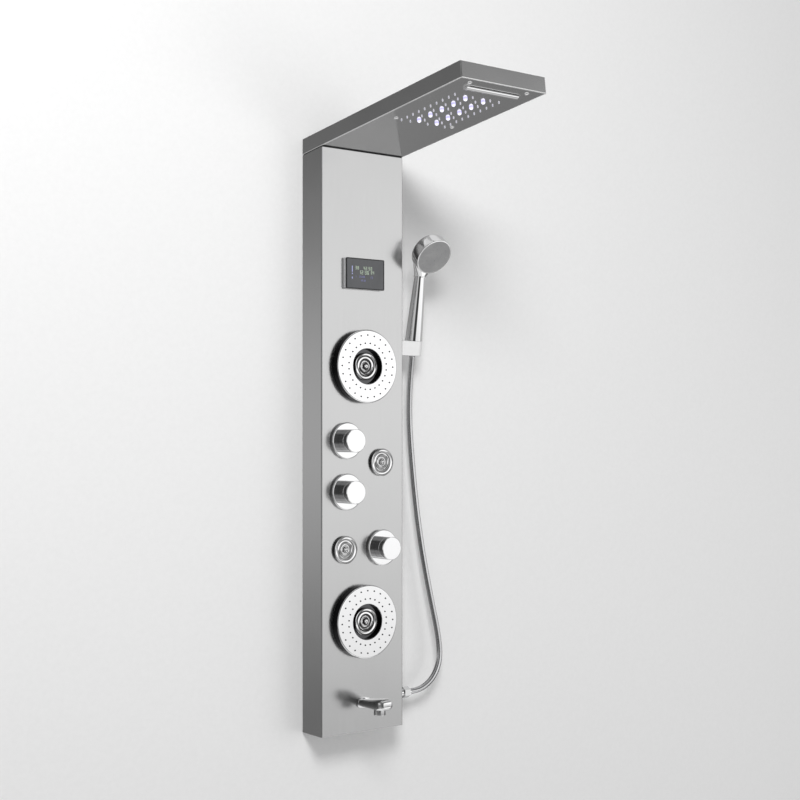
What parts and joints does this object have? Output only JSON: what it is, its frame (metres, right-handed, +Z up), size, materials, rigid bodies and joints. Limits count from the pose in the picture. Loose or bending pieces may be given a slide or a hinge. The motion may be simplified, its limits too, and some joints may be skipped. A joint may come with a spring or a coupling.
{
  "type": "shower panel column",
  "caption": "Wall-hung steel shower column with a tilted rain head, ring and ball jets, display, knobs, spout and hand shower on a hose.",
  "frame": {"origin": "centre of the four wall screw holes, on the wall plane", "axes": "+Z up, -Y out of the wall towards the user, +X to the user's right"},
  "size_m": [0.3297, 0.4897, 1.2349],
  "materials": {
    "brushed_panel": "brushed",
    "zinc_steel": "satin",
    "chrome_trim": "polished",
    "black_rubber": "matte",
    "pale_silicone": "matte",
    "dark_silicone": "matte",
    "white_moulding": "matte",
    "blue_moulding": "matte",
    "black_moulding": "matte",
    "black_gloss": "gloss",
    "display_glass": "gloss",
    "lens_clear": "gloss",
    "green_board": "matte",
    "brass": "satin",
    "pipe_steel": "satin",
    "satin_holder": "satin",
    "grey_face": "matte",
    "hose_chrome": "polished"
  },
  "bodies": {
    "root": {"cartridge_nuts": "brass", "column_base": "brushed_panel", "column_shell": "brushed_panel", "display_bezel": "black_gloss", "display_glass": "display_glass", "display_module": "black_moulding", "diverter_body": "brass", "generator_housing": "white_moulding", "head_bolts": "zinc_steel", "head_gasket": "black_rubber", "head_shell": "brushed_panel", "head_underside": "brushed_panel", "holder": "satin_holder", "hose": "hose_chrome", "hose_outlet": "chrome_trim", "hose_outlet_nut": "chrome_trim", "jet_locknuts": "brass", "jet_pipes": "pipe_steel", "jet_seals": "black_rubber", "led_board": "green_board", "led_lenses": "lens_clear", "left_jet_socket": "chrome_trim", "lower_escutcheon": "chrome_trim", "lower_ring_faceplate": "chrome_trim", "lower_ring_housing": "white_moulding", "lower_ring_nozzles": "dark_silicone", "lower_ring_socket": "chrome_trim", "middle_escutcheon": "chrome_trim", "mixer_body": "brass", "outlet_pipes": "pipe_steel", "rain_chamber": "white_moulding", "rain_nozzles": "pale_silicone", "rain_riser": "pipe_steel", "right_jet_socket": "chrome_trim", "spout_aerator": "white_moulding", "spout_body": "chrome_trim", "underside_screws": "chrome_trim", "upper_escutcheon": "chrome_trim", "upper_ring_faceplate": "chrome_trim", "upper_ring_housing": "white_moulding", "upper_ring_nozzles": "dark_silicone", "upper_ring_socket": "chrome_trim", "wall_brackets": "zinc_steel", "waterfall_chamber": "white_moulding", "waterfall_lip": "chrome_trim", "waterfall_riser": "pipe_steel"},
    "upper_knob": {"upper_knob": "chrome_trim", "upper_spindle": "brass"},
    "middle_knob": {"middle_knob": "chrome_trim", "middle_spindle": "brass"},
    "lower_knob": {"lower_knob": "chrome_trim", "lower_spindle": "brass"},
    "upper_ring_ball": {"upper_ring_ball": "chrome_trim"},
    "lower_ring_ball": {"lower_ring_ball": "chrome_trim"},
    "right_jet_ball": {"right_jet_ball": "chrome_trim"},
    "left_jet_ball": {"left_jet_ball": "chrome_trim"},
    "handset": {"handset_body": "chrome_trim", "handset_face": "grey_face", "hose_handset_nut": "chrome_trim"},
    "generator_rotor": {"generator_rotor": "blue_moulding"}
  },
  "joints": [
    {"name": "upper_knob_turn", "type": "hinge", "parent": "root", "child": "upper_knob", "pos_m": [-0.0425, -0.066, -0.021], "axis": [0, -1, 0], "range_deg": [-135, 135]},
    {"name": "middle_knob_turn", "type": "hinge", "parent": "root", "child": "middle_knob", "pos_m": [-0.0425, -0.066, -0.122], "axis": [0, -1, 0], "range_deg": [-135, 135]},
    {"name": "mixer_knob_turn", "type": "hinge", "parent": "root", "child": "lower_knob", "pos_m": [0.045, -0.066, -0.2357], "axis": [0, -1, 0], "range_deg": [-90, 90]},
    {"name": "upper_ring_ball_tilt", "type": "hinge", "parent": "root", "child": "upper_ring_ball", "pos_m": [0, -0.069, 0.1264], "axis": [1, 0, 0], "range_deg": [-12, 12]},
    {"name": "lower_ring_ball_tilt", "type": "hinge", "parent": "root", "child": "lower_ring_ball", "pos_m": [0, -0.069, -0.3804], "axis": [1, 0, 0], "range_deg": [-12, 12]},
    {"name": "right_jet_ball_tilt", "type": "hinge", "parent": "root", "child": "right_jet_ball", "pos_m": [0.044, -0.064, -0.0646], "axis": [1, 0, 0], "range_deg": [-12, 12]},
    {"name": "left_jet_ball_tilt", "type": "hinge", "parent": "root", "child": "left_jet_ball", "pos_m": [-0.0453, -0.064, -0.2362], "axis": [1, 0, 0], "range_deg": [-12, 12]},
    {"name": "handset_lift", "type": "slide", "parent": "root", "child": "handset", "axis": [0, -0.1564, 0.9877], "range_m": [0, 0.07]},
    {"name": "generator_spin", "type": "hinge", "parent": "root", "child": "generator_rotor", "pos_m": [-0.0425, -0.10963, 0.57267], "axis": [0, -0.9931, 0.1175], "continuous": true}
  ]
}
